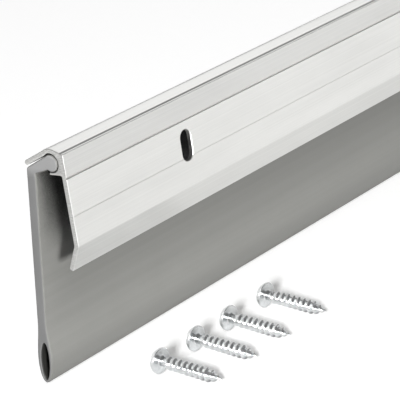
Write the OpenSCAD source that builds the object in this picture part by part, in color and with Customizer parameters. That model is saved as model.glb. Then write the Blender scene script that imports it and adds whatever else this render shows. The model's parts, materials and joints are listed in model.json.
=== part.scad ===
// Door sweep: an extruded aluminium carrier that screws to a door, a vinyl
// seal whose round bead turns in the carrier's socket, and four pan-head screws.
// +X runs along the door, +Y points away from the door face, +Z is up.
// The origin is on the carrier's door face, mid-length, at the height of the
// slot centres. The two long profiles are drawn as (y, z) and extruded along X.

/* [Strip] */
// Length of the strip, across the width of the door
sweep_length = 914.4; // [600:0.1:1220]
// Height over all, from the top of the socket to the bottom of the seal
overall_height = 62.7; // [56:0.1:70]

/* [Carrier] */
// Thickness of the screw plate
plate_thickness = 1.4; // [1.2:0.1:1.8]
// Height of the flat door face, from its top edge to the bend of the lip
plate_height = 23.2; // [22:0.1:25]
// Length of the kicked lip below the plate
lip_length = 7.4; // [6:0.1:8]
// Angle of the lip off the plate
lip_angle = 26; // [20:1:30]
// Height of the plain band above the upper groove
band_height = 6; // [5:0.1:7]
// Depth of the upper groove across the door face
groove_depth = 0.35; // [0.2:0.05:0.5]

/* [Screw slots] */
// Number of slots
slot_count = 4; // [2:1:6]
// Width of a slot
slot_width = 4.5; // [3.8:0.1:4.8]
// Length of a slot, end to end
slot_length = 8.2; // [6:0.1:9]
// Distance from each end of the strip to the first slot
slot_end = 44.45; // [30:0.05:60]
// Height of the door face above the slot centres
slot_drop = 12.5; // [11.5:0.1:13.5]

/* [Bead socket] */
// Radius of the seal's bead
bead_radius = 2.1; // [2:0.05:2.15]
// Radius of the socket's bore, in which the bead hangs loosely
socket_radius = 2.45; // [2.4:0.05:2.5]
// Shift of the bore's centre from the bead's, both towards the plate and up
socket_shift = 0.15; // [0.1:0.01:0.15]
// Wall of the socket and of its hood
socket_wall = 1.15; // [1:0.05:1.2]
// Distance of the bead's centre behind the door face
bead_setback = 4.45; // [4.4:0.05:4.7]
// Distance of the bead's centre below the top edge of the door face
bead_drop = 2.55; // [2.5:0.05:2.7]
// Slope of the hood over the neck of the seal
hood_angle = 25; // [24:0.5:27]
// Length of the hood, from above the bead to its nose
hood_length = 7.3; // [6.5:0.1:7.4]
// Angle at which the lower lip of the socket ends, below horizontal
lower_lip_angle = 72; // [72:1:80]

/* [Seal] */
// Angle between the seal and the plate at rest
seal_lean = 8.4; // [7:0.1:9]
// Thickness of the flat web
web_thickness = 2.9; // [2.6:0.1:3]
// Distance of the web's front face behind the bead's centre
web_offset = 5; // [4.9:0.05:5.1]
// Height of the bending line below the bead's centre
flex_drop = 31.5; // [29:0.5:34]
// Width of the hollow bulb at the foot of the seal
bulb_width = 4.7; // [4.2:0.1:5.2]
// Height of the bulb
bulb_height = 13.6; // [12:0.1:15]
// Width of the bulb's bore
bore_width = 2.25; // [1.6:0.05:2.6]
// Height of the bulb's bore
bore_height = 10; // [8:0.1:11]

/* [Screws] */
// Length of a screw under its head
screw_length = 19.05; // [16:0.05:20]
// Radius of the thread's crest
crest_radius = 1.75; // [1.6:0.05:1.8]
// Radius of the thread's root
root_radius = 1.25; // [1.1:0.05:1.35]
// Distance between threads
thread_pitch = 1.65; // [1.5:0.05:1.8]
// Radius of the pan head
head_radius = 3.45; // [3.3:0.05:3.6]
// Height of the pan head
head_height = 2.3; // [2:0.1:2.5]
// Width of one arm of the cross recess
recess_width = 0.9; // [0.7:0.1:1.1]
// Distance of the screws' heads in front of the door face
screw_setback = 6.7; // [3:0.1:8]

/* [Hidden] */
$fn = 64;
eps = 0.01;

// Distances of the screws from the left end of the strip
screw_places = [14.7, 29, 42.8, 58.7];

mid_groove_drop = 15.6;
mid_groove_depth = 0.12;
slot_pitch = (sweep_length - 2 * slot_end) / (slot_count - 1);

// Socket: its bore, its outer skin and the flat under its lower lip
skin_radius = socket_radius + socket_wall;
lower_wall = 0.55;
skin_step = 0.05;
nose_radius = 0.62;
nose_offset = 0.6;
bead_centre = [bead_setback, slot_drop - bead_drop];
socket_centre = bead_centre + [-socket_shift, socket_shift];
socket_top = socket_centre[1] + skin_radius;
socket_bottom = socket_centre[1] - socket_radius - lower_wall;
floor_level = socket_top - overall_height;

// The slope from the top edge of the plate meets the socket's skin as a tangent
socket_drop = slot_drop - socket_centre[1];
edge_run = norm([socket_centre[0], socket_drop]);
edge_slope = asin(skin_radius / edge_run) - atan2(socket_drop, socket_centre[0]);
edge_length = sqrt(edge_run ^ 2 - skin_radius ^ 2);
skin_tangent = [edge_length * cos(edge_slope), slot_drop + edge_length * sin(edge_slope)];

// Seal section, drawn as (behind, above) the bead's centre before it leans
web_mid = web_offset + web_thickness / 2;
web_back = web_offset + web_thickness;
neck_turn = hood_angle + seal_lean;
neck_top = bead_radius - 0.05;
neck_root = 3.8;
belly = [2.6, -2.75];
belly_angle = 62;
belly_start = bead_radius * [cos(belly_angle), -sin(belly_angle)];
shoulder_radius = 0.9;
shoulder = [
    web_back - shoulder_radius,
    (neck_top - shoulder_radius - (web_back - shoulder_radius) * sin(neck_turn)) / cos(neck_turn)
];
flex_gap = 0.3;

// Bulb: an oval standing on the floor, with an oval bore set forward and down in it
bulb_mid = web_mid - 0.25;
bulb_reach = norm([bulb_width * sin(seal_lean), bulb_height * cos(seal_lean)]) / 2;
bulb_drop = (bead_centre[1] + bulb_mid * sin(seal_lean) - bulb_reach - floor_level) / cos(seal_lean);
bulb_taper = 9.5;
bore_mid = bulb_mid - 0.18;
bore_drop = bulb_drop + 0.8;

// Screws: each lies on the rim of its head and on the first full thread
dome_radius = 4.6;
neck_length = 1.6;
point_length = 4.2;
crest_flat = 0.12;
ridge_half = thread_pitch * 0.22;
recess_depth = 1.3;
recess_span = 3.4;
screw_tilt = atan((head_radius - crest_radius) / (screw_length - point_length));

// Draws its child, a (y, z) section, along the whole strip and past it by extra
module bar(extra = 0) {
    rotate([90, 0, 90])
        linear_extrude(height = sweep_length + extra, center = true)
            children();
}

// A point along the slope of the hood from the socket's centre, and out from it
function on_slope(along, out) =
    along * [cos(hood_angle), -sin(hood_angle)] + out * [sin(hood_angle), cos(hood_angle)];

// The hood and its nose, still filled in down to the socket's centre
module hood() {
    bar()
        translate(socket_centre)
            rotate(-hood_angle)
                square([hood_length, skin_radius - skin_step]);
    bar()
        translate(socket_centre + on_slope(hood_length, socket_radius - skin_step + nose_offset))
            circle(r = nose_radius);
}

// The opening between the end of the lower lip and the underside of the hood
module mouth() {
    reach = 3 * skin_radius;
    bar(2)
        translate(socket_centre)
            polygon([
                [0, 0],
                reach * [cos(lower_lip_angle), -sin(lower_lip_angle)],
                on_slope(reach, 0),
                on_slope(reach, socket_radius - skin_step),
                on_slope(0, socket_radius - skin_step)
            ]);
}

// The round skin of the socket, flat underneath, and the web that joins it to the plate
module socket_body() {
    difference() {
        bar() translate(socket_centre) circle(r = skin_radius);
        bar(2)
            translate([0, socket_bottom - skin_radius])
                square([2 * socket_centre[0], skin_radius]);
    }
    bar()
        polygon([
            [0, socket_bottom],
            [socket_centre[0], socket_bottom],
            socket_centre,
            skin_tangent,
            [0, slot_drop]
        ]);
}

module plate() {
    bend = slot_drop - plate_height;
    bar() translate([0, bend]) square([plate_thickness, plate_height]);
    bar() translate([plate_thickness / 2, bend]) circle(r = plate_thickness / 2);
    bar()
        translate([0, bend])
            rotate(lip_angle)
                translate([0, -lip_length])
                    square([plate_thickness - 0.2, lip_length]);
}

// A V groove along the door face, its bottom at depth, drop below the top edge
module groove(drop, depth) {
    bar(2)
        translate([0, slot_drop - drop])
            polygon([[-eps, depth + eps], [-eps, -depth - eps], [depth, 0]]);
}

// A slot through the plate, its length upright
module slot() {
    straight = slot_length - slot_width;
    rotate([-90, 0, 0]) {
        cube([slot_width, straight, 4 * plate_thickness], center = true);
        for (side = [-1, 1])
            translate([0, side * straight / 2, 0])
                cylinder(d = slot_width, h = 4 * plate_thickness, center = true);
    }
}

module carrier() {
    color([0.86, 0.86, 0.84]) {
        difference() {
            union() {
                plate();
                socket_body();
                hood();
            }
            mouth();
            bar(2) translate(socket_centre) circle(r = socket_radius);
            groove(band_height, groove_depth);
            groove(mid_groove_drop, mid_groove_depth);
            for (i = [0 : slot_count - 1])
                translate([(i - (slot_count - 1) / 2) * slot_pitch, 0, 0]) slot();
        }
    }
}

// Draws a section about the bead's centre along the strip, at the seal's resting lean
module seal_bar(extra = 0) {
    bar(extra)
        translate(bead_centre)
            rotate(seal_lean)
                children();
}

// The thick neck from the bead, under the hood, to the top of the web
module neck() {
    under_hood = (neck_top - web_mid * sin(neck_turn)) / cos(neck_turn);
    seal_bar()
        polygon([
            [0, 0],
            belly_start,
            belly,
            [web_offset, -neck_root],
            [web_mid, -neck_root],
            [web_mid, under_hood],
            neck_top * [sin(neck_turn), cos(neck_turn)]
        ]);
}

// The web above the bending line, with its rounded shoulder
module web_top() {
    foot = -flex_drop + web_thickness / 2 + flex_gap;
    seal_bar()
        polygon([
            [web_offset, foot],
            [web_back, foot],
            [web_back, shoulder[1]],
            shoulder,
            shoulder + shoulder_radius * [sin(neck_turn), cos(neck_turn)],
            [web_offset, (neck_top - web_offset * sin(neck_turn)) / cos(neck_turn)]
        ]);
    seal_bar() translate(shoulder) circle(r = shoulder_radius);
}

module seal_hinge() {
    color([0.58, 0.58, 0.57]) {
        seal_bar() circle(r = bead_radius);
        neck();
        web_top();
    }
}

// An oval along the seal, upright in the seal's own section
module oval(mid, drop, width, height, extra = 0) {
    seal_bar(extra)
        translate([mid, -drop])
            scale([width / height, 1])
                circle(d = height);
}

module seal_blade() {
    flare = bulb_width / 2 - skin_step;
    color([0.6, 0.6, 0.59])
        difference() {
            union() {
                seal_bar() translate([web_mid, -flex_drop]) circle(r = web_thickness / 2);
                seal_bar()
                    translate([web_offset, bulb_taper - bulb_drop])
                        square([web_thickness, bulb_drop - bulb_taper - flex_drop]);
                seal_bar()
                    polygon([
                        [bulb_mid - flare, -bulb_drop],
                        [bulb_mid + flare, -bulb_drop],
                        [web_back, bulb_taper - bulb_drop],
                        [web_offset, bulb_taper - bulb_drop]
                    ]);
                oval(bulb_mid, bulb_drop, bulb_width, bulb_height);
            }
            oval(bore_mid, bore_drop, bore_width, bore_height, 2);
        }
}

module thread_ridge(crest) {
    root = root_radius * 0.6;
    rotate_extrude()
        polygon([
            [root, -ridge_half],
            [crest, -crest_flat / 2],
            [crest, crest_flat / 2],
            [root, ridge_half]
        ]);
}

// The shank hangs from the bearing face of the head at the origin, its point down
module screw_shank() {
    threaded = screw_length - neck_length - point_length;
    turns = floor(threaded / thread_pitch);
    translate([0, 0, -screw_length])
        cylinder(r1 = eps, r2 = root_radius, h = point_length);
    translate([0, 0, point_length - screw_length - eps])
        cylinder(r = root_radius, h = screw_length - point_length + 2 * eps);
    for (i = [0 : turns])
        translate([0, 0, point_length - screw_length + i * thread_pitch])
            thread_ridge(crest_radius);
    translate([0, 0, point_length - screw_length - thread_pitch])
        thread_ridge((crest_radius + root_radius) / 2);
}

module screw_head() {
    difference() {
        rotate_extrude()
            intersection() {
                translate([0, head_height - dome_radius]) circle(r = dome_radius);
                square([head_radius, head_height]);
            }
        for (turn = [0, 90])
            rotate([0, 0, turn])
                translate([0, 0, head_height])
                    cube([recess_span, recess_width, 2 * recess_depth], center = true);
    }
}

// One screw, lying square to the strip with its point away from the door face
module screw(place) {
    color([0.8, 0.81, 0.83])
        translate([
            place - sweep_length / 2,
            -screw_setback,
            floor_level + head_radius * cos(screw_tilt)
        ])
            rotate([screw_tilt - 90, 0, 0]) {
                screw_shank();
                screw_head();
            }
}

carrier();
seal_hinge();
seal_blade();
screw(screw_places[0]);  // screw_1
screw(screw_places[1]);  // screw_2
screw(screw_places[2]);  // screw_3
screw(screw_places[3]);  // screw_4
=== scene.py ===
import json
import math

import bmesh
import bpy
from mathutils import Matrix, Vector


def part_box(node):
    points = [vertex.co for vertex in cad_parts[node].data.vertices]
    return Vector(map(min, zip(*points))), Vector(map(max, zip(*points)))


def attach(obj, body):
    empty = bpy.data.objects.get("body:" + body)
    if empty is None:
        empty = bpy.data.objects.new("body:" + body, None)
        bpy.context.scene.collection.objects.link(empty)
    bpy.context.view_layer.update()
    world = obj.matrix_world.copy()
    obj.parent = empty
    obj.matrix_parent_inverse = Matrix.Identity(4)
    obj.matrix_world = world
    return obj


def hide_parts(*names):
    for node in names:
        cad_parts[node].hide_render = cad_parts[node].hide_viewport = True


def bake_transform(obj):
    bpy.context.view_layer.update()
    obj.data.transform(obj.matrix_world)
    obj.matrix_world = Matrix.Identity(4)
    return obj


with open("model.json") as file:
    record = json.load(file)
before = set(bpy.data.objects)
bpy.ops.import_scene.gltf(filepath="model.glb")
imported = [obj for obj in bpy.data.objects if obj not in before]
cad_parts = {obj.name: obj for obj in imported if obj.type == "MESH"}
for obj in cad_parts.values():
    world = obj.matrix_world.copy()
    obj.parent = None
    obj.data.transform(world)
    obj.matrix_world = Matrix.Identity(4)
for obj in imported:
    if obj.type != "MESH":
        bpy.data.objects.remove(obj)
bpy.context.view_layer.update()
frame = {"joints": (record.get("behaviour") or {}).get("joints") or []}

# Everything is in the row frame, in metres: +X along the strip, +Y away from the door, +Z up.
# Sections are drawn as (y, z) in millimetres and turned into metres when they are extruded.
MM = 0.001
JOINTS = {joint["name"]: joint for joint in frame["joints"]}
SCREWS = ("screw_1", "screw_2", "screw_3", "screw_4")
STRIP_LOW, STRIP_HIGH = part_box("carrier")
FLOOR_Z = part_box("seal_blade")[0].z
BEAD = (JOINTS["seal_swing"]["pos_m"][1] / MM, JOINTS["seal_swing"]["pos_m"][2] / MM)

# Carrier, in millimetres
BEAD_DROP = 2.55
PLATE_TOP = BEAD[1] + BEAD_DROP
PLATE_THICKNESS = 1.4
PLATE_HEIGHT = 23.2
LIP_LENGTH = 7.4
LIP_THICKNESS = 1.2
LIP_ANGLE = 26
GROOVES = ((6.0, 0.26), (15.6, 0.07))
EDGE_GROOVE_DEPTH = 0.3
SOCKET_SHIFT = 0.15
SOCKET = (BEAD[0] - SOCKET_SHIFT, BEAD[1] + SOCKET_SHIFT)
SOCKET_RADIUS = 2.45
SKIN_RADIUS = 3.6
LOWER_WALL = 0.55
LOWER_LIP_ANGLE = 72
HOOD_ANGLE = 25
HOOD_LENGTH = 7.3
HOOD_UNDER = 2.3
HOOD_OVER = 3.55
SLOT_WIDTH = 4.1
SLOT_LENGTH = 8.2
SLOT_COUNT = 4
SLOT_END = 44.45

# Heights between which the lands of the carrier get their painted shade, in metres
LAND_LOW = -0.02
LAND_HIGH = 0.02

# Seal, in its own section: (behind, above) the bead's centre before it leans
SEAL_LEAN = 8.4
BEAD_RADIUS = 2.2
BELLY_ANGLE = 62
BELLY = (2.6, -2.75)
NECK_TOP = 2.17
NECK_FALL = 1.5
NECK_ROOT = 3.8
WEB_TOP = 5
WEB_FRONT = 5.0
WEB_BACK = 7.9
BULB_MID = 6.2
BULB_HALF_WIDTH = 2.35
BULB_HALF_HEIGHT = 6.8
BULB_DROP = 53.7
FLARE_TOP = 44.2
BORE_MID = 6.02
BORE_DROP = 54.5
BORE_HALF_WIDTH = 1.13
BORE_HALF_HEIGHT = 5.0
BEND_STEP = 1.1

# Heights in metres: painted light makes the vinyl's cut end paler between the first two, where the
# bead begins, and painted shade darkens its faces behind the plate from the last two up
BEAD_END_LIGHT_HEIGHTS = (0.006, 0.0085)
BEHIND_PLATE_SHADE_HEIGHTS = (-0.023, -0.016)

# Screws, in millimetres: the head's bearing face is at 0 and the point is below it
SCREW_LENGTH = 19.05
CREST_RADIUS = 1.75
ROOT_RADIUS = 1.2
THREAD_PITCH = 1.65
POINT_LENGTH = 4.2
NECK_LENGTH = 1.6
THREAD_START_ABOVE_TIP = 0.3
HEAD_RADIUS = 3.35
HEAD_HEIGHT = 2.3
HEAD_FILLET = 0.35
FILLET_DROP = 0.38
DOME_RADIUS = 4.6
RIM_HEIGHT = 0.74

# The cross recess above and below: height, and an arm's half length and half width
RECESS_SECTIONS = ((3.0, 2.25, 0.62), (0.55, 1.05, 0.36))

# Each screw is rolled further than the one before it, in degrees
HEAD_TURN = 25
HEAD_TURN_STEP = 77

# Stage and camera, in metres, with the lens and the sensor in millimetres
FLOOR_HALF = 4.0
FLOOR_GAP = 0.0002
LIT_END = (STRIP_LOW.x + 0.06, 0, 0)
CARD_PLACE = Vector((STRIP_LOW.x + 0.036, -0.005, -0.010))
CAMERA_PLACE = Vector((-0.80639, -0.34341, 0.15696))
CAMERA_FORWARD = Vector((0.71717, 0.62299, -0.31247))
CAMERA_UP = Vector((0.33598, 0.08375, 0.93822))
CAMERA_LENS = 195.6
CAMERA_SENSOR = 36


# Outlines

def polar(centre, radius, degrees):
    angle = math.radians(degrees)
    return (centre[0] + radius * math.cos(angle), centre[1] + radius * math.sin(angle))


def arc(centre, radius, start, end, steps):
    return [polar(centre, radius, start + (end - start) * i / steps) for i in range(steps + 1)]


def turned(points, centre, degrees):
    """The points, drawn about (0, 0), turned and moved to the centre."""
    c, s = math.cos(math.radians(degrees)), math.sin(math.radians(degrees))
    return [
        (centre[0] + p[0] * c - p[1] * s, centre[1] + p[0] * s + p[1] * c, *p[2:]) for p in points
    ]


def rounded(corners, steps=4):
    """A closed outline from (y, z) points and (y, z, radius) corners, rounded to their radius."""
    outline = []
    for i, corner in enumerate(corners):
        here = Vector(corner[:2])
        radius = corner[2] if len(corner) > 2 else 0
        before = (here - Vector(corners[i - 1][:2])).normalized()
        after = (Vector(corners[(i + 1) % len(corners)][:2]) - here).normalized()
        turn = math.atan2(before.x * after.y - before.y * after.x, before.dot(after))
        if radius == 0 or abs(turn) < 0.02:
            outline.append(tuple(here))
            continue
        side = math.copysign(1, turn)
        start = here - before * radius * math.tan(abs(turn) / 2)
        centre = start + Vector((-before.y, before.x)) * side * radius
        for step in range(steps + 1):
            spin = Matrix.Rotation(turn * step / steps, 2)
            outline.append(tuple(centre + spin @ (start - centre)))
    return outline


def is_counterclockwise(outline):
    area = 0
    for i, (y, z) in enumerate(outline):
        area += outline[i - 1][0] * z - y * outline[i - 1][1]
    return area > 0


def pulled_in(outline, distance):
    """A counterclockwise outline moved inwards, or a clockwise hole's outline moved outwards."""
    moved = []
    for i, here in enumerate(outline):
        before = (Vector(here) - Vector(outline[i - 1])).normalized()
        after = (Vector(outline[(i + 1) % len(outline)]) - Vector(here)).normalized()
        normal = Vector((-before.y - after.y, before.x + after.x)).normalized()
        miter = max(0.5, normal.dot(Vector((-before.y, before.x))))
        moved.append(tuple(Vector(here) + normal * distance / miter))
    return moved


# Meshes

def add_object(name, mesh):
    obj = bpy.data.objects.new(name, mesh)
    bpy.context.scene.collection.objects.link(obj)
    return obj


def finish_mesh(bm, name, sharp_angle=32):
    bmesh.ops.recalc_face_normals(bm, faces=bm.faces)
    mesh = bpy.data.meshes.new(name)
    bm.to_mesh(mesh)
    bm.free()
    mesh.shade_smooth()
    mesh.set_sharp_from_angle(angle=math.radians(sharp_angle))
    return mesh


def even_normals(obj):
    """Keeps the broad flat faces flat beside the narrow rounded edges."""
    weighted = obj.modifiers.new("weighted_normals", "WEIGHTED_NORMAL")
    weighted.keep_sharp = True
    weighted.weight = 60


def extrude_section(name, outline, holes, x_low, x_high, edge, spans):
    """A bar along X with rounded end edges. The outline and its holes are (y, z) in millimetres.

    The outer faces take the object's first material and the holes' faces its second.
    """
    loops = [outline if is_counterclockwise(outline) else outline[::-1]]
    loops += [hole[::-1] if is_counterclockwise(hole) else hole for hole in holes]
    stations = []
    bevel_steps = 3
    for i in range(bevel_steps + 1):
        lift = math.radians(90 * i / bevel_steps)
        stations.append((edge * (1 - math.sin(lift)), edge * (1 - math.cos(lift))))
    stations = [(x_low + x * MM, inset) for x, inset in stations[::-1]]
    body = [(x_low + (x_high - x_low) * i / spans, 0) for i in range(1, spans)]
    far = [(x_low + x_high - x, inset) for x, inset in stations[::-1]]
    bm = bmesh.new()
    first, last = [], []
    for index, loop in enumerate(loops):
        rings = []
        for x, inset in stations + body + far:
            shape = pulled_in(loop, inset) if inset else loop
            rings.append([bm.verts.new((x, y * MM, z * MM)) for y, z in shape])
        for near, away in zip(rings, rings[1:]):
            for i in range(len(near)):
                side = bm.faces.new((near[i - 1], near[i], away[i], away[i - 1]))
                side.material_index = min(index, 1)
        first += [bm.edges.get((rings[0][i - 1], rings[0][i])) for i in range(len(loop))]
        last += [bm.edges.get((rings[-1][i - 1], rings[-1][i])) for i in range(len(loop))]
    for rim in (first, last):
        bmesh.ops.triangle_fill(bm, use_beauty=True, edges=rim)
    return add_object(name, finish_mesh(bm, name))


def cut_away(obj, cutter, sharp_angle=32):
    """Subtracts the cutter from the object's mesh and removes the cutter."""
    boolean = obj.modifiers.new("cut", "BOOLEAN")
    boolean.operation = "DIFFERENCE"
    boolean.solver = "MANIFOLD"
    boolean.object = cutter
    bpy.context.view_layer.update()
    result = obj.evaluated_get(bpy.context.evaluated_depsgraph_get())
    mesh = bpy.data.meshes.new_from_object(result)
    obj.modifiers.clear()
    obj.data = mesh
    mesh.materials.clear()
    mesh.shade_smooth()
    mesh.set_sharp_from_angle(angle=math.radians(sharp_angle))
    bpy.data.objects.remove(cutter)


def loft(name, rings):
    """A closed solid through rings with the same number of points, in metres."""
    bm = bmesh.new()
    made = [[bm.verts.new(point) for point in ring] for ring in rings]
    for near, away in zip(made, made[1:]):
        for i in range(len(near)):
            bm.faces.new((near[i - 1], near[i], away[i], away[i - 1]))
    bm.faces.new(made[0])
    bm.faces.new(made[-1][::-1])
    return finish_mesh(bm, name)


# Carrier

def on_slope(along, out):
    """A point along the slope of the hood from the socket's centre, and out from it."""
    angle = math.radians(HOOD_ANGLE)
    y = SOCKET[0] + along * math.cos(angle) + out * math.sin(angle)
    z = SOCKET[1] - along * math.sin(angle) + out * math.cos(angle)
    return (y, z)


def carrier_outline():
    bend = PLATE_TOP - PLATE_HEIGHT
    lip = math.radians(LIP_ANGLE)
    tip = (LIP_LENGTH * math.sin(lip), bend - LIP_LENGTH * math.cos(lip))
    back_tip = (
        tip[0] + LIP_THICKNESS * math.cos(lip),
        tip[1] + LIP_THICKNESS * math.sin(lip),
    )
    under = SOCKET[1] - SOCKET_RADIUS - LOWER_WALL
    lip_end = polar(SOCKET, SOCKET_RADIUS, -LOWER_LIP_ANGLE)
    hood_start = math.degrees(math.acos(HOOD_UNDER / SOCKET_RADIUS))
    skin_start = math.degrees(math.acos(HOOD_OVER / SKIN_RADIUS))
    nose_radius = (HOOD_OVER - HOOD_UNDER) / 2
    nose = on_slope(HOOD_LENGTH, HOOD_UNDER + nose_radius)
    corners = [(0, PLATE_TOP, 0.3)]
    for drop, depth in GROOVES:
        z = PLATE_TOP - drop
        corners += [(0, z + depth, depth / 3), (depth, z, depth / 4), (0, z - depth, depth / 3)]
    corners += [
        (0, bend, 0.9),
        (*tip, 0.3),
        (*back_tip, 0.3),
        (PLATE_THICKNESS, bend + 0.1, 1.2),
        (PLATE_THICKNESS, under, 0.5),
        (lip_end[0] + 0.2, under, 0.15),
    ]
    corners += arc(SOCKET, SOCKET_RADIUS, 360 - LOWER_LIP_ANGLE, 90 - HOOD_ANGLE - hood_start, 40)
    corners += arc(nose, nose_radius, -90 - HOOD_ANGLE, 90 - HOOD_ANGLE, 10)
    top = arc(SOCKET, SKIN_RADIUS, 90 - HOOD_ANGLE - skin_start, 107, 12)
    corners += top
    edge = Vector((0, PLATE_TOP))
    along = (Vector(top[-1]) - edge).normalized()
    into = Vector((along.y, -along.x))
    for run, depth in ((1.1, 0), (0.75, EDGE_GROOVE_DEPTH), (0.4, 0)):
        corners.append((*(edge + along * run + into * depth), 0.08))
    return rounded(corners)


def slot_cutter():
    """All the slots as one cutter, flared a little at both faces of the plate."""
    rim = 0.16
    reach = 0.5
    depths = (
        (-reach, reach + rim),
        (rim, 0),
        (PLATE_THICKNESS - rim, 0),
        (PLATE_THICKNESS + reach, reach + rim),
    )
    centre = (STRIP_LOW.x + STRIP_HIGH.x) / 2
    first = STRIP_LOW.x + SLOT_END * MM
    pitch = 2 * (centre - first) / (SLOT_COUNT - 1)
    straight = (SLOT_LENGTH - SLOT_WIDTH) / 2
    bm = bmesh.new()
    for i in range(SLOT_COUNT):
        rings = []
        for depth, flare in depths:
            radius = SLOT_WIDTH / 2 + flare
            stadium = arc((0, straight), radius, 0, 180, 16)
            stadium += arc((0, -straight), radius, 180, 360, 16)
            rings.append([
                bm.verts.new((first + i * pitch + x * MM, depth * MM, z * MM)) for x, z in stadium
            ])
        for near, away in zip(rings, rings[1:]):
            for k in range(len(near)):
                bm.faces.new((near[k - 1], near[k], away[k], away[k - 1]))
        bm.faces.new(rings[0])
        bm.faces.new(rings[-1][::-1])
    return add_object("slot_cutter", finish_mesh(bm, "slot_cutter"))


def make_carrier(material):
    carrier = extrude_section(
        "carrier_extrusion",
        carrier_outline(),
        [],
        STRIP_LOW.x,
        STRIP_HIGH.x,
        edge=0.14,
        spans=24,
    )
    cut_away(carrier, slot_cutter())
    carrier.data.materials.append(material)
    even_normals(carrier)
    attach(carrier, "carrier")
    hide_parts("carrier")
    return carrier


# Seal

def smooth(t):
    """A soft step from 0 to 1 as t goes from 0 to 1."""
    t = min(1, max(0, t))
    return t * t * (3 - 2 * t)


def web_side(top, foot, at_web, at_bulb):
    """One face of the web, top to foot, with rows close enough to bend, flaring into the bulb."""
    steps = max(2, round(abs(foot - top) / BEND_STEP))
    side = []
    for i in range(steps + 1):
        drop = top + (foot - top) * i / steps
        share = smooth((drop - FLARE_TOP) / (BULB_DROP - FLARE_TOP))
        side.append((at_web + (at_bulb - at_web) * share, -drop))
    return side


def seal_outline():
    turn = HOOD_ANGLE + SEAL_LEAN + NECK_FALL
    neck_start = 90 - turn - math.degrees(math.acos(NECK_TOP / BEAD_RADIUS))
    c, s = math.cos(math.radians(turn)), math.sin(math.radians(turn))
    shoulder_z = (NECK_TOP - WEB_BACK * s) / c
    corners = arc((0, 0), BEAD_RADIUS, neck_start, 360 - BELLY_ANGLE, 40)
    corners += [(*BELLY, 1.0), (WEB_FRONT, -NECK_ROOT, 0.8)]
    corners += web_side(WEB_TOP, BULB_DROP, WEB_FRONT, BULB_MID - BULB_HALF_WIDTH)
    bulb_steps = 24
    for i in range(1, bulb_steps):
        angle = math.radians(180 + 180 * i / bulb_steps)
        corners.append((
            BULB_MID + BULB_HALF_WIDTH * math.cos(angle),
            -BULB_DROP + BULB_HALF_HEIGHT * math.sin(angle),
        ))
    corners += web_side(BULB_DROP, WEB_TOP, WEB_BACK, BULB_MID + BULB_HALF_WIDTH)
    corners.append((WEB_BACK, shoulder_z, 1.1))
    return turned(rounded(corners, steps=6), BEAD, SEAL_LEAN)


def bore_outline():
    """The bulb's bore: an oval drawn in to soft points at its top and foot."""
    oval = []
    steps = 40
    for i in range(steps):
        angle = 2 * math.pi * i / steps
        across = math.copysign(abs(math.cos(angle)) ** 1.25, math.cos(angle))
        oval.append((
            BORE_MID + BORE_HALF_WIDTH * across,
            -BORE_DROP + BORE_HALF_HEIGHT * math.sin(angle),
        ))
    return turned(oval, BEAD, SEAL_LEAN)


def make_seal(material, bore_painted_shade_material):
    seal = extrude_section(
        "seal_vinyl",
        seal_outline(),
        [bore_outline()],
        STRIP_LOW.x,
        STRIP_HIGH.x,
        edge=0.45,
        spans=40,
    )
    seal.data.materials.append(material)
    seal.data.materials.append(bore_painted_shade_material)
    even_normals(seal)
    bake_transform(seal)
    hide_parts("seal_hinge", "seal_blade")
    return seal


# Screws

def thread_radius(height, angle):
    """The shank's radius in millimetres at a height and an angle: a helix with a tapered point."""
    above_tip = height + SCREW_LENGTH
    body = min(1, max(0.04, above_tip / POINT_LENGTH))
    root = ROOT_RADIUS * body
    fade_in = smooth((above_tip - THREAD_START_ABOVE_TIP) / (POINT_LENGTH * 0.9))
    fade_out = smooth((-height - NECK_LENGTH) / (THREAD_PITCH * 0.7))
    full_crest = CREST_RADIUS - ROOT_RADIUS
    crest = root + full_crest * min(1, 0.25 + fade_in) * fade_out * min(1, above_tip / 1.2)
    phase = (height / THREAD_PITCH - angle / (2 * math.pi)) % 1
    ridge = max(0, min(1, (0.26 - abs(phase - 0.5)) / 0.2))
    return root + (crest - root) * ridge


def head_profile():
    """(radius, height) points in millimetres from the shank, round the rim, to the dome's top."""
    foot_round = 0.22
    rim_round = 0.2
    profile = arc((ROOT_RADIUS + HEAD_FILLET, -FILLET_DROP), HEAD_FILLET, 180, 95, 5)
    profile += [(2.2, -0.02), (3.1, 0)]
    profile += arc((HEAD_RADIUS - foot_round, foot_round), foot_round, 270, 360, 4)
    profile += arc((HEAD_RADIUS - rim_round, RIM_HEIGHT - rim_round), rim_round, 0, 42, 3)
    dome_steps = 9
    for i in range(1, dome_steps):
        radius = (HEAD_RADIUS - 0.1) * (1 - i / dome_steps)
        rise = math.sqrt(DOME_RADIUS ** 2 - radius ** 2)
        profile.append((radius, HEAD_HEIGHT - DOME_RADIUS + rise))
    return profile


def screw_mesh():
    """One screw, its head's bearing face at the origin and its axis along Z."""
    around = 48
    rows_per_thread = 14
    shank = SCREW_LENGTH - 0.4
    rings = []
    rows = round(shank / THREAD_PITCH * rows_per_thread)
    for row in range(rows + 1):
        height = -SCREW_LENGTH + shank * row / rows
        rings.append([
            (thread_radius(height, 2 * math.pi * k / around), height) for k in range(around)
        ])
    rings += [[point] * around for point in head_profile()]
    bm = bmesh.new()
    made = []
    for ring in rings:
        row = []
        for k, (radius, height) in enumerate(ring):
            angle = 2 * math.pi * k / around
            x, y = radius * math.cos(angle), radius * math.sin(angle)
            row.append(bm.verts.new((x * MM, y * MM, height * MM)))
        made.append(row)
    for near, away in zip(made, made[1:]):
        for k in range(around):
            bm.faces.new((near[k - 1], near[k], away[k], away[k - 1]))
    bm.faces.new(made[0])
    bm.faces.new(made[-1][::-1])
    return finish_mesh(bm, "screw", sharp_angle=50)


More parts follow.
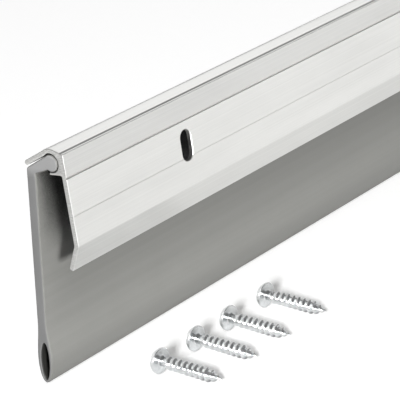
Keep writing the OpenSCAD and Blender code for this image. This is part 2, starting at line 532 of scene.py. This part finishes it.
def recess_cutter():
    """A cross recess whose four arms narrow with depth."""
    rings = []
    for height, half_span, half_width in RECESS_SECTIONS:
        arm = ((half_span, -half_width), (half_span, half_width), (half_width, half_width))
        outline = []
        for quarter in range(4):
            c, s = math.cos(math.pi / 2 * quarter), math.sin(math.pi / 2 * quarter)
            for x, y in arm:
                outline.append(Vector((x * c - y * s, x * s + y * c, height)) * MM)
        rings.append(outline)
    return add_object("recess_cutter", loft("recess_cutter", rings))


def make_screws(material):
    pattern = add_object("screw_pattern", screw_mesh())
    cut_away(pattern, recess_cutter(), sharp_angle=50)
    made = []
    for i, node in enumerate(SCREWS):
        joint = JOINTS[node + "_turn"]
        screw = add_object(node + "_pan_head", pattern.data.copy())
        stand = Vector(joint["axis"]).to_track_quat("Z", "X").to_matrix().to_4x4()
        roll = Matrix.Rotation(math.radians(HEAD_TURN + HEAD_TURN_STEP * i), 4, "Z")
        screw.data.transform(Matrix.Translation(joint["pos_m"]) @ stand @ roll)
        screw.data.materials.append(material)
        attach(screw, "screw_body_%d" % (i + 1))
        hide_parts(node)
        made.append(screw)
    bpy.data.objects.remove(pattern)
    return made


# Materials

def new_material(name):
    material = bpy.data.materials.new(name)
    material.use_nodes = True
    return material, material.node_tree.nodes, material.node_tree.links


def noise(nodes, links, vector, scale, detail=3.0, roughness=0.6):
    node = nodes.new("ShaderNodeTexNoise")
    node.inputs["Scale"].default_value = scale
    node.inputs["Detail"].default_value = detail
    node.inputs["Roughness"].default_value = roughness
    links.new(vector, node.inputs["Vector"])
    return node.outputs["Fac"]


def stretched(nodes, links, scale):
    """The object's own coordinates, each multiplied by its scale."""
    coordinates = nodes.new("ShaderNodeTexCoord")
    mapping = nodes.new("ShaderNodeMapping")
    mapping.inputs["Scale"].default_value = scale
    links.new(coordinates.outputs["Object"], mapping.inputs["Vector"])
    return mapping.outputs["Vector"]


def ramp(nodes, links, value, low, high, start=0.3, end=0.7):
    """A colour ramp from low to high as the value goes from start to end."""
    node = nodes.new("ShaderNodeValToRGB")
    node.color_ramp.elements[0].position = start
    node.color_ramp.elements[1].position = end
    node.color_ramp.elements[0].color = (*low, 1)
    node.color_ramp.elements[1].color = (*high, 1)
    links.new(value, node.inputs["Fac"])
    return node.outputs["Color"]


def spread(nodes, links, value, low, high, start=0.3, end=0.7):
    """The value taken from the range start to end to the range low to high."""
    node = nodes.new("ShaderNodeMapRange")
    node.inputs["From Min"].default_value = start
    node.inputs["From Max"].default_value = end
    node.inputs["To Min"].default_value = low
    node.inputs["To Max"].default_value = high
    links.new(value, node.inputs["Value"])
    return node.outputs["Result"]


def mixed(nodes, links, factor, a, b, blend="MIX"):
    node = nodes.new("ShaderNodeMix")
    node.data_type = "RGBA"
    node.blend_type = blend
    if isinstance(factor, float):
        node.inputs["Factor"].default_value = factor
    else:
        links.new(factor, node.inputs["Factor"])
    links.new(a, node.inputs["A"])
    links.new(b, node.inputs["B"])
    return node.outputs["Result"]


def bumped(nodes, links, height, distance, strength=1.0, below=None):
    node = nodes.new("ShaderNodeBump")
    node.inputs["Strength"].default_value = strength
    node.inputs["Distance"].default_value = distance
    links.new(height, node.inputs["Height"])
    if below is not None:
        links.new(below, node.inputs["Normal"])
    return node.outputs["Normal"]


def end_mask(nodes, links):
    """1 on the sawn ends of the strip and 0 on its long faces."""
    geometry = nodes.new("ShaderNodeNewGeometry")
    parts = nodes.new("ShaderNodeSeparateXYZ")
    size = nodes.new("ShaderNodeMath")
    size.operation = "ABSOLUTE"
    links.new(geometry.outputs["True Normal"], parts.inputs["Vector"])
    links.new(parts.outputs["X"], size.inputs[0])
    return spread(nodes, links, size.outputs["Value"], 0, 1, 0.7, 0.95)


def painted_shade_by_nearness(nodes, links, colour, distance, darkest, reach=(0.2, 0.85)):
    """The colour with painted shade: darkened in crevices and under whatever hangs within the
    distance.
    """
    nearness = nodes.new("ShaderNodeAmbientOcclusion")
    nearness.samples = 8
    nearness.inputs["Distance"].default_value = distance
    shade = ramp(nodes, links, nearness.outputs["AO"], (darkest,) * 3, (1, 1, 1), *reach)
    return mixed(nodes, links, 1.0, colour, shade, "MULTIPLY")


def object_height(nodes, links):
    """The Z of the object's own coordinates, in metres."""
    coordinates = nodes.new("ShaderNodeTexCoord")
    parts = nodes.new("ShaderNodeSeparateXYZ")
    links.new(coordinates.outputs["Object"], parts.inputs["Vector"])
    return parts.outputs["Z"]


def across_tangent(nodes, links):
    """The direction on the surface that crosses the die lines, so that gloss spreads that way."""
    geometry = nodes.new("ShaderNodeNewGeometry")
    across = nodes.new("ShaderNodeVectorMath")
    across.operation = "CROSS_PRODUCT"
    across.inputs[0].default_value = (1, 0, 0)
    links.new(geometry.outputs["Normal"], across.inputs[1])
    never_zero = nodes.new("ShaderNodeVectorMath")
    never_zero.operation = "ADD"
    never_zero.inputs[1].default_value = (0, 0.001, 0.002)
    links.new(across.outputs["Vector"], never_zero.inputs[0])
    return never_zero.outputs["Vector"]


def painted_land_shade(nodes, links):
    """Paints shade on the bent lip and on everything above the upper groove, leaving the plate
    between them as it is.
    """
    lip_painted_shade = 0.88
    band_painted_shade = 0.90
    height = object_height(nodes, links)
    share = spread(nodes, links, height, 0, 1, LAND_LOW, LAND_HIGH)
    lands = nodes.new("ShaderNodeValToRGB")
    links.new(share, lands.inputs["Fac"])
    bend = (PLATE_TOP - PLATE_HEIGHT) * MM
    groove = (PLATE_TOP - GROOVES[0][0]) * MM
    stops = (
        (bend - 0.0002, lip_painted_shade),
        (bend + 0.0002, 1.0),
        (groove - 0.0001, 1.0),
        (groove, band_painted_shade),
    )
    for z, shade in stops:
        stop = lands.color_ramp.elements.new((z - LAND_LOW) / (LAND_HIGH - LAND_LOW))
        stop.color = (shade, shade, shade, 1)
    lands.color_ramp.elements[0].color = (lip_painted_shade, lip_painted_shade, lip_painted_shade, 1)
    lands.color_ramp.elements[-1].color = (band_painted_shade, band_painted_shade, 0.91, 1)
    return lands.outputs["Color"]


def aluminium_material():
    """Mill-finish extrusion: die lines along X, cloudy dull patches, painted shade on the lip and
    above the upper groove, and a sawn end with saw marks whose darker colour is painted shade.
    """
    material, nodes, links = new_material("aluminium_mill_finish")
    shader = nodes["Principled BSDF"]
    die_lines = noise(nodes, links, stretched(nodes, links, (2.5, 2600, 2600)), 1.0, 3.0, 0.65)
    wide_lines = noise(nodes, links, stretched(nodes, links, (1.2, 420, 420)), 1.0, 2.0, 0.5)
    clouds = noise(nodes, links, stretched(nodes, links, (16, 70, 70)), 1.0, 4.0, 0.6)
    saw = noise(nodes, links, stretched(nodes, links, (0, 900, 5200)), 1.0, 2.0, 0.6)
    ends = end_mask(nodes, links)
    plain = ramp(nodes, links, die_lines, (0.75, 0.75, 0.73), (0.82, 0.82, 0.80))
    patchy = ramp(nodes, links, clouds, (0.88, 0.88, 0.88), (1.0, 1.0, 1.0))
    cloudy = mixed(nodes, links, 1.0, plain, patchy, "MULTIPLY")
    # painted shade: the bent lip and everything above the upper groove are dulled
    long_colour = mixed(nodes, links, 1.0, cloudy, painted_land_shade(nodes, links), "MULTIPLY")
    # the sawn end: saw marks, painted darker than the long faces as shade
    end_colour = ramp(nodes, links, saw, (0.42, 0.42, 0.41), (0.66, 0.66, 0.64))
    colour = mixed(nodes, links, ends, long_colour, end_colour)
    links.new(colour, shader.inputs["Base Color"])
    shader.inputs["Metallic"].default_value = 1.0
    shader.inputs["Anisotropic"].default_value = 0.55
    links.new(across_tangent(nodes, links), shader.inputs["Tangent"])
    links.new(spread(nodes, links, clouds, 0.30, 0.42), shader.inputs["Roughness"])
    fine = bumped(nodes, links, die_lines, 0.0000025)
    broad = bumped(nodes, links, wide_lines, 0.000003, below=fine)
    links.new(broad, shader.inputs["Normal"])
    return material


def vinyl_material(name, shade=1.0):
    """Satin grey vinyl with faint flow lines along X and a soft mottle. The shade factor darkens
    the long faces as painted shade, for the bore's copy; the cut end is painted lighter as painted
    light, most at the bead, and the faces behind the plate get painted shade.
    """
    material, nodes, links = new_material(name)
    shader = nodes["Principled BSDF"]
    flow = noise(nodes, links, stretched(nodes, links, (1.5, 500, 500)), 1.0, 3.0, 0.6)
    mottle = noise(nodes, links, stretched(nodes, links, (60, 60, 60)), 1.0, 4.0, 0.6)
    skin = noise(nodes, links, stretched(nodes, links, (1800, 1800, 1800)), 1.0, 2.0, 0.5)
    ends = end_mask(nodes, links)
    flow_colour = ramp(nodes, links, flow, (0.232, 0.232, 0.219), (0.250, 0.250, 0.236))
    mottle_colour = ramp(nodes, links, mottle, (0.94 * shade,) * 3, (shade,) * 3)
    long_colour = mixed(nodes, links, 1.0, flow_colour, mottle_colour, "MULTIPLY")
    # painted light: the cut end is a little lighter than the skin
    cut = ramp(nodes, links, mottle, (0.25, 0.25, 0.25), (0.29, 0.29, 0.29))
    # painted light: the cut end is paler still where the bead begins
    bead_end_painted_light = ramp(nodes, links, mottle, (0.40, 0.40, 0.40), (0.46, 0.46, 0.46))
    height = object_height(nodes, links)
    painted_light_at_bead = spread(nodes, links, height, 0, 1, *BEAD_END_LIGHT_HEIGHTS)
    end_colour = mixed(nodes, links, painted_light_at_bead, cut, bead_end_painted_light)
    # painted shade: the faces behind the plate darken with nearness to other parts
    painted_shade_near_plate = painted_shade_by_nearness(nodes, links, long_colour, 0.03, 0.0, (0.3, 0.5))
    behind_plate_shade_mask = spread(nodes, links, height, 0, 1, *BEHIND_PLATE_SHADE_HEIGHTS)
    long_colour = mixed(nodes, links, behind_plate_shade_mask, long_colour, painted_shade_near_plate)
    links.new(mixed(nodes, links, ends, long_colour, end_colour), shader.inputs["Base Color"])
    links.new(spread(nodes, links, mottle, 0.42, 0.56), shader.inputs["Roughness"])
    shader.inputs["Specular IOR Level"].default_value = 0.3
    fine = bumped(nodes, links, skin, 0.00001, 0.5)
    broad = bumped(nodes, links, flow, 0.00001, 0.5, below=fine)
    links.new(broad, shader.inputs["Normal"])
    return material


def zinc_material():
    """Bright zinc plate over rolled steel, duller in spots, with painted shade between the threads
    and where the screw lies near the floor.
    """
    material, nodes, links = new_material("zinc_bright_plate")
    shader = nodes["Principled BSDF"]
    spots = noise(nodes, links, stretched(nodes, links, (900, 900, 900)), 1.0, 4.0, 0.6)
    fine_spots = noise(nodes, links, stretched(nodes, links, (5200, 5200, 5200)), 1.0, 2.0, 0.5)
    plate = ramp(nodes, links, spots, (0.50, 0.515, 0.52), (0.68, 0.69, 0.695))
    # painted shade between the threads and near the floor, darkened with nearness
    links.new(painted_shade_by_nearness(nodes, links, plate, 0.0016, 0.12), shader.inputs["Base Color"])
    shader.inputs["Metallic"].default_value = 1.0
    links.new(spread(nodes, links, spots, 0.14, 0.26), shader.inputs["Roughness"])
    links.new(bumped(nodes, links, fine_spots, 0.000008), shader.inputs["Normal"])
    return material


def floor_material():
    """Matt white card with a barely seen grain."""
    material, nodes, links = new_material("floor_white_card")
    shader = nodes["Principled BSDF"]
    grain = noise(nodes, links, stretched(nodes, links, (700, 700, 700)), 1.0, 2.0, 0.5)
    card = ramp(nodes, links, grain, (0.93, 0.93, 0.93), (0.95, 0.95, 0.95))
    links.new(card, shader.inputs["Base Color"])
    shader.inputs["Roughness"].default_value = 1.0
    shader.inputs["Specular IOR Level"].default_value = 0.0
    shader.inputs["Emission Color"].default_value = (1, 1, 1, 1)
    shader.inputs["Emission Strength"].default_value = 0.17
    return material


# Stage, light and camera

def make_floor():
    bm = bmesh.new()
    signs = ((-1, -1), (1, -1), (1, 1), (-1, 1))
    z = FLOOR_Z - FLOOR_GAP
    bm.faces.new([bm.verts.new((x * FLOOR_HALF, y * FLOOR_HALF, z)) for x, y in signs])
    floor = add_object("floor", finish_mesh(bm, "floor"))
    floor.data.materials.append(floor_material())
    floor.visible_diffuse = False
    return floor


def add_softbox(name, aim, azimuth, elevation, distance, size, power):
    """A square area light that shines at the aim point. Azimuth 0 comes from -Y and 90 from -X."""
    a, e = math.radians(azimuth), math.radians(elevation)
    back = Vector((-math.sin(a) * math.cos(e), -math.cos(a) * math.cos(e), math.sin(e)))
    light = bpy.data.lights.new(name, "AREA")
    light.shape = "SQUARE"
    light.size = size
    light.energy = power
    obj = bpy.data.objects.new(name, light)
    bpy.context.scene.collection.objects.link(obj)
    obj.location = Vector(aim) + back * distance
    obj.rotation_euler = (-back).to_track_quat("-Z", "Y").to_euler()
    return obj


def make_world():
    """A white room, brighter overhead than at the horizon, and dark below."""
    world = bpy.data.worlds.new("white_room")
    bpy.context.scene.world = world
    world.use_nodes = True
    nodes, links = world.node_tree.nodes, world.node_tree.links
    coordinates = nodes.new("ShaderNodeTexCoord")
    parts = nodes.new("ShaderNodeSeparateXYZ")
    links.new(coordinates.outputs["Generated"], parts.inputs["Vector"])
    height = spread(nodes, links, parts.outputs["Z"], 0, 1, -0.06, 0.8)
    shade = nodes.new("ShaderNodeValToRGB")
    horizon = shade.color_ramp.elements.new(0.07)
    shade.color_ramp.elements[0].color = (0, 0, 0, 1)
    horizon.color = (0.25, 0.25, 0.25, 1)
    shade.color_ramp.elements[2].color = (0.3, 0.3, 0.3, 1)
    links.new(height, shade.inputs["Fac"])
    links.new(shade.outputs["Color"], nodes["Background"].inputs["Color"])
    nodes["Background"].inputs["Strength"].default_value = 1.0


def shine_on(light, name, objects):
    """Lets the light fall on these objects alone."""
    lit = bpy.data.collections.new(name)
    for obj in objects:
        lit.objects.link(obj)
    light.light_linking.receiver_collection = lit


def make_lights(carrier, seal, screws, floor):
    """Lights the strip and the screws apart, as two studio shots would be.

    A low key lights both and casts only the strip's shadows. Two fills light the front and the
    back of the seal, and two panels show only as gloss. The screws also have a side light, which
    lights the floor and casts their shadows on it, and a white card between them and the strip.
    """
    key = add_softbox("key", LIT_END, 36, 4, 1.1, 0.16, 12.5)
    shine_on(key, "lit_by_key", (carrier, seal, *screws))
    key.light_linking.blocker_collection = bpy.data.collections.new("shade_from_key")
    for obj in (carrier, seal):
        key.light_linking.blocker_collection.objects.link(obj)
    fill = add_softbox("fill", LIT_END, 20, 50, 1.3, 1.0, 14.0)
    shine_on(fill, "lit_by_fill", (seal,))
    back_fill = add_softbox("back_fill", (0, 0, 0), 200, 35, 1.6, 1.2, 26.0)
    shine_on(back_fill, "lit_from_behind", (seal,))
    above = add_softbox("above_panel", LIT_END, 245, 38, 1.8, 1.4, 7.0)
    streak = add_softbox("streak_panel", LIT_END, -49, -2, 1.4, 0.4, 1.5)
    for panel in (above, streak):
        panel.visible_diffuse = False
        panel.visible_camera = False
    side = add_softbox("side", LIT_END, 59, 19, 6.0, 0.8, 710.0)
    side.data.specular_factor = 0.15
    shine_on(side, "lit_by_side", (floor, *screws))
    card = add_softbox("screw_card", CARD_PLACE, 180, 0, 0.001, 0.07, 0.014)
    card.visible_camera = False
    shine_on(card, "lit_by_card", screws)


def make_camera():
    """Looks at the left end of the strip from in front, from the left and from above."""
    forward = CAMERA_FORWARD.normalized()
    right = forward.cross(CAMERA_UP).normalized()
    up = right.cross(forward)
    camera = bpy.data.cameras.new("camera")
    camera.lens = CAMERA_LENS
    camera.sensor_width = CAMERA_SENSOR
    camera.clip_start = 0.01
    camera.clip_end = 50
    obj = bpy.data.objects.new("camera", camera)
    bpy.context.scene.collection.objects.link(obj)
    turn = Matrix((right, up, -forward)).transposed().to_4x4()
    obj.matrix_world = Matrix.Translation(CAMERA_PLACE) @ turn
    bpy.context.scene.camera = obj


def main():
    bpy.context.scene.view_settings.view_transform = "Standard"
    carrier = make_carrier(aluminium_material())
    vinyl = vinyl_material("vinyl_satin_grey")
    # the bore's copy of the vinyl, darkened as painted shade
    bore_vinyl_painted_shade = vinyl_material("vinyl_bore_painted_shade", 0.12)
    seal = make_seal(vinyl, bore_vinyl_painted_shade)
    screws = make_screws(zinc_material())
    floor = make_floor()
    make_world()
    make_lights(carrier, seal, screws, floor)
    make_camera()


main()
